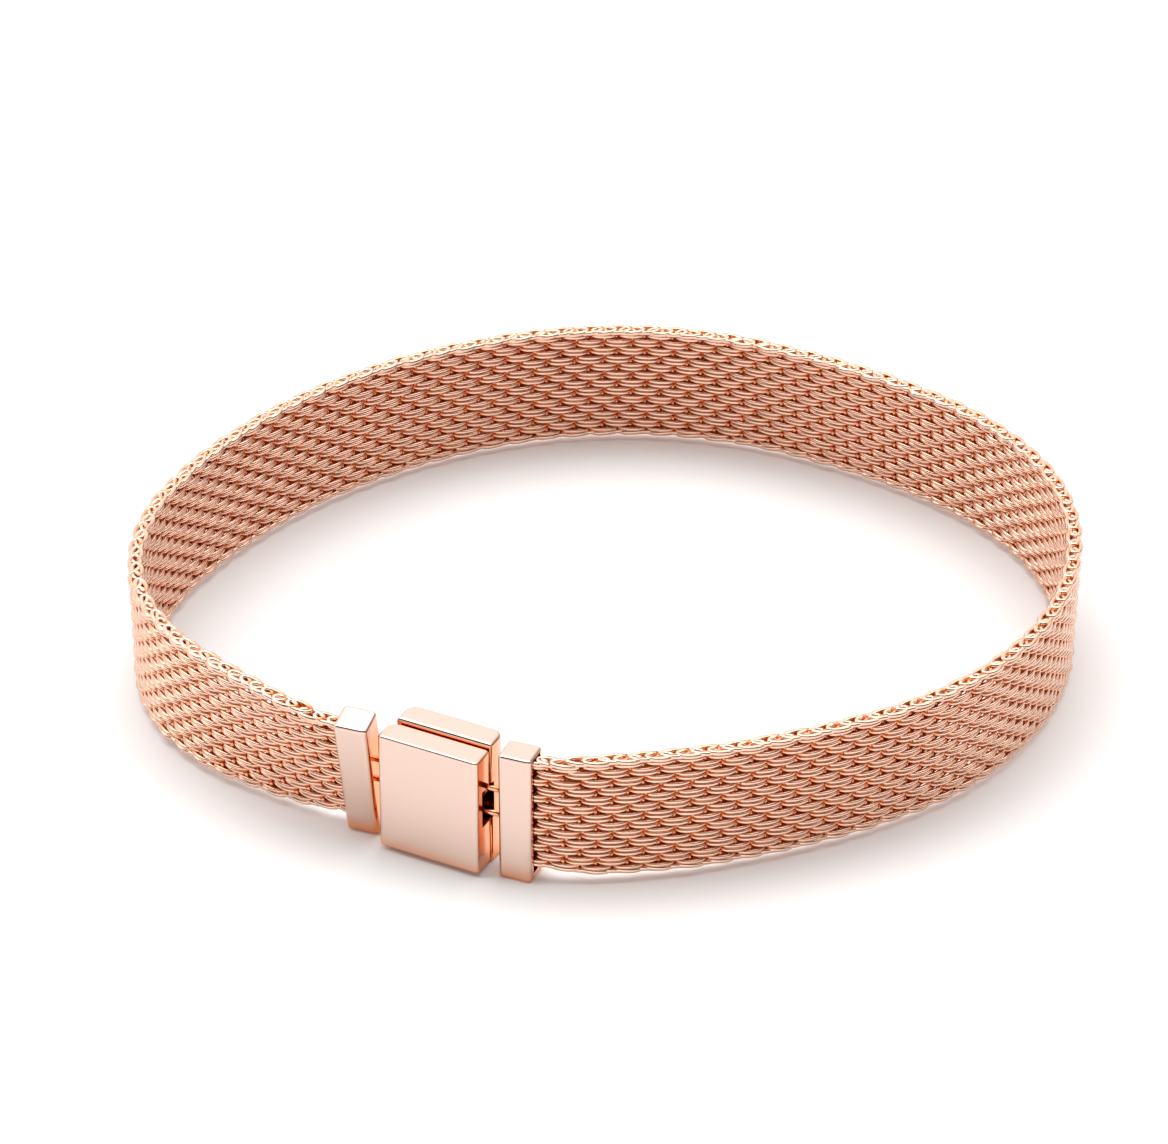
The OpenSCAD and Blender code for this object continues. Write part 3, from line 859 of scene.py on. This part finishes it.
def carve(obj, cuts, place):
    # take the cuts out of the piece and leave it a plain mesh
    cutters = [build("cut", part, place) for part in cuts]
    for other in cutters:
        modifier = obj.modifiers.new("cut", "BOOLEAN")
        modifier.operation = "DIFFERENCE"
        modifier.solver = "EXACT"
        modifier.object = other
    bpy.context.view_layer.update()
    ready = obj.evaluated_get(bpy.context.evaluated_depsgraph_get())
    mesh = bpy.data.meshes.new_from_object(ready)
    obj.modifiers.clear()
    obj.data = mesh
    for other in cutters:
        bpy.data.objects.remove(other)


def addTo(obj, parts, place):
    shape = bmesh.new()
    shape.from_mesh(obj.data)
    for part in parts:
        other = build("more", part, place)
        shape.from_mesh(other.data)
        bpy.data.objects.remove(other)
    shape.to_mesh(obj.data)
    shape.free()


def finishPiece(obj, node, body):
    obj.data.materials.clear()
    obj.data.materials.append(plateMetal)
    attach(obj, body)
    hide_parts(node)
    print(obj.name, len(obj.data.polygons), "faces")


def turned(degrees, axis):
    return Matrix.Rotation(math.radians(degrees), 4, axis)


def movedTo(x, y, z):
    return Matrix.Translation((x, y, z))


claspPlace = movedTo(*(claspAt - centre), 0) @ turned(loop["claspTurn"], "Z")
rightPlace = movedTo(*(rightAt - centre), capHeight / 2) @ turned(rightYaw, "Z")
leftPlace = movedTo(*(leftAt - centre), leftZ) @ turned(leftYaw, "Z") @ turned(cap["lean"], "X")
# the middle of a ring's round end, seen from its post
catchTip = catchHalf - rings["wire"] / 2 - rings["catchPost"] - rings["play"]
linkTip = linkHalf - rings["wire"] / 2 - rings["linkPost"] - rings["play"]
skirt = soft["skirt"]


def makeCap(name, node, place, direction, rise, ring, ringPlace):
    # the direction is 1 where the band goes off to the right, and -1 where it goes to the left
    long, thick = cap["length"], cap["thickness"]
    ends = (0, long) if direction > 0 else (-long, 0)
    box = (*ends, 0, thick, -capHeight / 2, capHeight / 2)
    body = build(name, block(box, [soft["capCorner"]] * 4, soft["cap"]), place)
    floor, mouth = long - cap["pocket"], long + skirt
    span = (floor, mouth) if direction > 0 else (-mouth, -floor)
    side = halfThick + cap["gap"]
    low, high = rise - pocketHeight / 2, rise + pocketHeight / 2
    carve(body, [cutter(*span, bandY - side, bandY + side, low, high)], place)
    addTo(body, [ring], ringPlace)
    finishPiece(body, node, "bracelet")


makeCap(
    "right_cap", "right_end_cap", rightPlace, 1, cap["rise"],
    wireRing(catchHalf, catchTip, catchReach, 1),
    claspPlace @ movedTo(catchX, catchY, catchZ) @ turned(cap["rightTurn"], "Z"))
makeCap(
    "left_cap", "left_end_cap", leftPlace, -1, 0.0,
    wireRing(linkHalf, linkTip, linkReach, -1),
    claspPlace @ movedTo(linkX, linkY, midZ) @ turned(cap["leftTurn"], "Z"))


def catchRecess(y0, y1):
    # room for the right ring, open at the clasp's right end
    tall = rings["catchHeight"] + 2 * rings["room"]
    far = rings["catchPost"] + rings["play"] + rings["wire"] + rings["room"]
    x1 = catchX + rings["catchInset"] + skirt
    return cutter(catchX - far, x1, y0, y1, catchZ - tall / 2, catchZ + tall / 2)


def linkRecess(y0, y1):
    # room for the left ring, open at the clasp's left end
    tall = rings["linkHeight"] + 2 * rings["room"]
    far = rings["linkPost"] + rings["play"] + rings["wire"] + rings["room"]
    return cutter(-skirt, linkX + far, y0, y1, midZ - tall / 2, midZ + tall / 2)


def makeBase():
    # the back plate with its two recesses, two posts and two lugs
    # the left ring lies turned in its recess, so that one is a little deeper
    slope = (rings["linkPost"] + rings["wire"]) * math.sin(math.radians(cap["leftTurn"]))
    linkFloor = linkY + rings["wire"] / 2 + slope + rings["room"]
    catchFloor = catchY + rings["wire"] / 2 + rings["room"]
    thick = clasp["baseThickness"]
    box = (clasp["inset"], clasp["length"], baseY, baseY + thick, 0, clasp["height"])
    radii = [soft["baseFront"], soft["baseFront"], clasp["baseRound"], clasp["baseRound"]]
    body = build("clasp_back_plate", block(box, radii, soft["base"]), claspPlace)
    front = clasp["lidThickness"]
    carve(body, [catchRecess(front, catchFloor), linkRecess(front, linkFloor)], claspPlace)
    root = soft["root"]
    parts = [
        rod([(catchX, front / 2, catchZ), (catchX, catchFloor + root, catchZ)], rings["catchPost"]),
        rod([(linkX, baseY, midZ), (linkX, linkFloor + root, midZ)], rings["linkPost"]),
    ]
    for way in (-1, 1):
        low = midZ + way * lugMid - hinge["lugHeight"] / 2
        high = low + hinge["lugHeight"]
        barrel = (pinX - lugRadius, pinX + lugRadius, pinY - lugRadius, pinY + lugRadius, low, high)
        parts.append(block(barrel, [lugRadius] * 4, soft["lug"]))
        neck = (pinX - lugWidth / 2, pinX + lugWidth / 2, pinY, baseY + root, low, high)
        parts.append(block(neck, [soft["neckCorner"]] * 4, soft["lug"]))
    addTo(body, parts, claspPlace)
    finishPiece(body, "clasp_base", "bracelet")


def makeLid():
    # the front plate, with room for the right ring, a slot for each lug and a bore for the pin
    step, thick = clasp["step"], clasp["lidThickness"]
    box = (0, clasp["length"], 0, thick, step, clasp["height"] - step)
    radii = [lidRound, lidRound, lidRound, hinge["knuckle"]]
    body = build("clasp_front_plate", block(box, radii, soft["lid"]), claspPlace)
    cuts = [catchRecess(thick / 2 - rings["room"], thick + skirt)]
    for way in (-1, 1):
        low = midZ + way * lugMid - hinge["lugHeight"] / 2 - hinge["lugGap"]
        high = low + hinge["lugHeight"] + 2 * hinge["lugGap"]
        cuts.append(rod([(pinX, pinY, low), (pinX, pinY, high)], lugRadius + hinge["lugGap"]))
        side = lugWidth / 2 + hinge["lugGap"]
        cuts.append(cutter(-skirt, pinX + side, pinY - side, thick + skirt, low, high))
    boreTop = midZ + lugMid + hinge["lugHeight"] / 2 + hinge["pin"]
    cuts.append(rod([(pinX, pinY, 0), (pinX, pinY, boreTop)], hinge["pin"] + hinge["pinClear"]))
    carve(body, cuts, claspPlace)
    finishPiece(body, "clasp_lid", "lid")


makeBase()
makeLid()
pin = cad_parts["hinge_pin"]
pin.data.materials.clear()
pin.data.materials.append(pinMetal)
print("clasp done")


# Floor, light and camera

paper = {
    "size": 3.0,  # from the middle to an edge, in metres
    "colour": (0.95, 0.95, 0.95),
    "roughness": 0.9,
    "gloss": 0.1,
}


def makeFloor():
    size = paper["size"]
    corners = [(-size, -size, 0), (size, -size, 0), (size, size, 0), (-size, size, 0)]
    floor = meshObject("floor", corners, [(0, 1, 2, 3)])
    material = bpy.data.materials.new("paper")
    material.use_nodes = True
    shader = material.node_tree.nodes["Principled BSDF"]
    shader.inputs["Base Color"].default_value = (*paper["colour"], 1)
    shader.inputs["Roughness"].default_value = paper["roughness"]
    shader.inputs["Specular IOR Level"].default_value = paper["gloss"]
    floor.data.materials.append(material)


light = {
    # (elevation in degrees, from the front horizon over the top to the back horizon, brightness)
    "arch": [
        (-10, 1.34), (31, 1.34), (39, 0.05), (71, 0.05), (81, 2.1),
        (93, 3.55), (112, 3.55), (132, 1.5), (190, 1.3),
    ],
    "aside": 0.75,  # how much darker it is far to the left and right
    "right": 0.18,  # and darker again on the right than on the left
    "tint": (1.0, 1.0, 1.0),
}


def makeWorld():
    # the sky's brightness follows the arch from front to back, and falls off to both sides
    world = bpy.data.worlds.new("studio")
    bpy.context.scene.world = world
    world.use_nodes = True
    tree = world.node_tree
    way = addNode(tree, "ShaderNodeTexCoord")
    parts = addNode(tree, "ShaderNodeSeparateXYZ")
    feed(tree, parts.inputs[0], way.outputs["Generated"])
    front = calc(tree, "MULTIPLY", parts.outputs["Y"], -1.0)
    arch = calc(tree, "ARCTAN2", parts.outputs["Z"], front)
    ramp = addNode(tree, "ShaderNodeFloatCurve")
    low, high = light["arch"][0][0], light["arch"][-1][0]
    share = addNode(tree, "ShaderNodeMapRange")
    feed(tree, share.inputs["Value"], calc(tree, "MULTIPLY", arch, 180 / math.pi))
    feed(tree, share.inputs["From Min"], float(low))
    feed(tree, share.inputs["From Max"], float(high))
    curve = ramp.mapping.curves[0]
    top = max(strength for angle, strength in light["arch"])
    points = [((angle - low) / (high - low), strength / top) for angle, strength in light["arch"]]
    while len(curve.points) < len(points):
        curve.points.new(0.5, 0.5)
    for point, place in zip(curve.points, points):
        point.location = place
        point.handle_type = "AUTO_CLAMPED"
    ramp.mapping.update()
    feed(tree, ramp.inputs["Value"], share.outputs["Result"])
    tree.nodes["Background"].inputs["Color"].default_value = (*light["tint"], 1)
    slant = calc(tree, "MULTIPLY_ADD", parts.outputs["X"], light["aside"], light["right"])
    aside = calc(tree, "SUBTRACT", 1.0, calc(tree, "MULTIPLY", parts.outputs["X"], slant))
    strength = calc(tree, "MULTIPLY", calc(tree, "MULTIPLY", ramp.outputs[0], top), aside)
    feed(tree, tree.nodes["Background"].inputs["Strength"], strength)


view = {
    "elevation": 33.25,
    "distance": 450.0,
    "focal": 6319.0,  # in pixels of the whole picture
    "principal": (612.6, 643.9),  # where the camera's axis meets the picture, in pixels
    "picture": (1168, 1144),
    "target": (0.46, -0.02, 0.3),
    "sensor": 36.0,
    "clip": (0.01, 10.0),  # in metres
}


def makeCamera():
    camera = bpy.data.cameras.new("camera")
    obj = linkTo(bpy.data.objects.new("camera", camera))
    tilt = math.radians(view["elevation"])
    target = Vector(view["target"]) * mm
    back = Vector((0, -math.cos(tilt), math.sin(tilt)))
    obj.location = target + back * view["distance"] * mm
    obj.rotation_euler = (math.pi / 2 - tilt, 0, 0)
    width, height = view["picture"]
    camera.sensor_width = view["sensor"]
    camera.lens = view["focal"] * view["sensor"] / width
    camera.shift_x = (width / 2 - view["principal"][0]) / width
    camera.shift_y = (view["principal"][1] - height / 2) / width
    camera.clip_start, camera.clip_end = view["clip"]
    bpy.context.scene.camera = obj


makeFloor()
makeWorld()
makeCamera()
bpy.context.scene.view_settings.view_transform = "Standard"
print("studio done")
